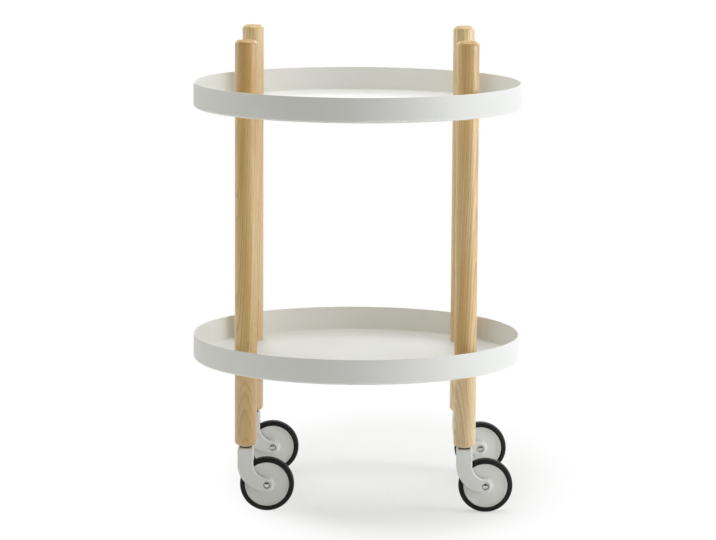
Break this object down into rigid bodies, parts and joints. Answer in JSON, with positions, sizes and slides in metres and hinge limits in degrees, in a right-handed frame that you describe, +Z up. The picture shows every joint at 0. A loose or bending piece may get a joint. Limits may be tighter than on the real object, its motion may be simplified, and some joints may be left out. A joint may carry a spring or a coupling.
{
  "type": "rolling table",
  "caption": "Round two-tier rolling table: shallow steel trays clamped between sections of round wooden legs that stand on swivel casters.",
  "frame": {"origin": "on the floor, under the common axis of the two trays", "axes": "+Z up through the trays; -Y towards the viewer of the picture, +X to the right, which is the way the casters trail at rest"},
  "size_m": [0.45, 0.45, 0.6386],
  "materials": {
    "tray_paint": "matt white powder coat",
    "ash_wood": "clear matt lacquer on turned ash",
    "fork_paint": "light grey satin paint on die-cast zinc",
    "wheel_disc": "light grey satin paint",
    "tyre": "matt black rubber",
    "black_bush": "black moulded nylon",
    "wheel_bush": "natural moulded acetal",
    "plated_steel": "zinc-plated steel",
    "insert_brass": "turned brass"
  },
  "bodies": {
    "table": {"caster_sockets": "insert_brass", "front_left_caster_stem": "plated_steel", "front_left_lower_post": "ash_wood", "front_left_middle_post": "ash_wood", "front_left_upper_post": "ash_wood", "front_right_caster_stem": "plated_steel", "front_right_lower_post": "ash_wood", "front_right_middle_post": "ash_wood", "front_right_upper_post": "ash_wood", "lower_post_inserts": "insert_brass", "lower_tray": "tray_paint", "lower_tray_studs": "plated_steel", "middle_post_inserts": "insert_brass", "rear_left_caster_stem": "plated_steel", "rear_left_lower_post": "ash_wood", "rear_left_middle_post": "ash_wood", "rear_left_upper_post": "ash_wood", "rear_right_caster_stem": "plated_steel", "rear_right_lower_post": "ash_wood", "rear_right_middle_post": "ash_wood", "rear_right_upper_post": "ash_wood", "stem_retaining_rings": "plated_steel", "upper_post_inserts": "insert_brass", "upper_tray": "tray_paint", "upper_tray_studs": "plated_steel"},
    "front_left_caster": {"front_left_fork": "fork_paint", "front_left_swivel_bush": "black_bush", "front_left_axle_bolt": "plated_steel", "front_left_axle_nut": "plated_steel", "front_left_axle_sleeve": "plated_steel"},
    "front_left_wheel": {"front_left_wheel_hub": "wheel_disc", "front_left_tyre": "tyre", "front_left_wheel_bush": "wheel_bush"},
    "front_right_caster": {"front_right_fork": "fork_paint", "front_right_swivel_bush": "black_bush", "front_right_axle_bolt": "plated_steel", "front_right_axle_nut": "plated_steel", "front_right_axle_sleeve": "plated_steel"},
    "front_right_wheel": {"front_right_wheel_hub": "wheel_disc", "front_right_tyre": "tyre", "front_right_wheel_bush": "wheel_bush"},
    "rear_left_caster": {"rear_left_fork": "fork_paint", "rear_left_swivel_bush": "black_bush", "rear_left_axle_bolt": "plated_steel", "rear_left_axle_nut": "plated_steel", "rear_left_axle_sleeve": "plated_steel"},
    "rear_left_wheel": {"rear_left_wheel_hub": "wheel_disc", "rear_left_tyre": "tyre", "rear_left_wheel_bush": "wheel_bush"},
    "rear_right_caster": {"rear_right_fork": "fork_paint", "rear_right_swivel_bush": "black_bush", "rear_right_axle_bolt": "plated_steel", "rear_right_axle_nut": "plated_steel", "rear_right_axle_sleeve": "plated_steel"},
    "rear_right_wheel": {"rear_right_wheel_hub": "wheel_disc", "rear_right_tyre": "tyre", "rear_right_wheel_bush": "wheel_bush"}
  },
  "joints": [
    {"name": "front_left_swivel", "type": "hinge", "parent": "table", "child": "front_left_caster", "pos_m": [-0.148, -0.13002, 0.08], "axis": [0, 0, 1], "continuous": true},
    {"name": "front_left_roll", "type": "hinge", "parent": "front_left_caster", "child": "front_left_wheel", "pos_m": [-0.119, -0.13002, 0.03675], "axis": [0, 1, 0], "continuous": true},
    {"name": "front_right_swivel", "type": "hinge", "parent": "table", "child": "front_right_caster", "pos_m": [0.148, -0.13002, 0.08], "axis": [0, 0, 1], "continuous": true},
    {"name": "front_right_roll", "type": "hinge", "parent": "front_right_caster", "child": "front_right_wheel", "pos_m": [0.177, -0.13002, 0.03675], "axis": [0, 1, 0], "continuous": true},
    {"name": "rear_left_swivel", "type": "hinge", "parent": "table", "child": "rear_left_caster", "pos_m": [-0.148, 0.13002, 0.08], "axis": [0, 0, 1], "continuous": true},
    {"name": "rear_left_roll", "type": "hinge", "parent": "rear_left_caster", "child": "rear_left_wheel", "pos_m": [-0.119, 0.13002, 0.03675], "axis": [0, 1, 0], "continuous": true},
    {"name": "rear_right_swivel", "type": "hinge", "parent": "table", "child": "rear_right_caster", "pos_m": [0.148, 0.13002, 0.08], "axis": [0, 0, 1], "continuous": true},
    {"name": "rear_right_roll", "type": "hinge", "parent": "rear_right_caster", "child": "rear_right_wheel", "pos_m": [0.177, 0.13002, 0.03675], "axis": [0, 1, 0], "continuous": true}
  ]
}
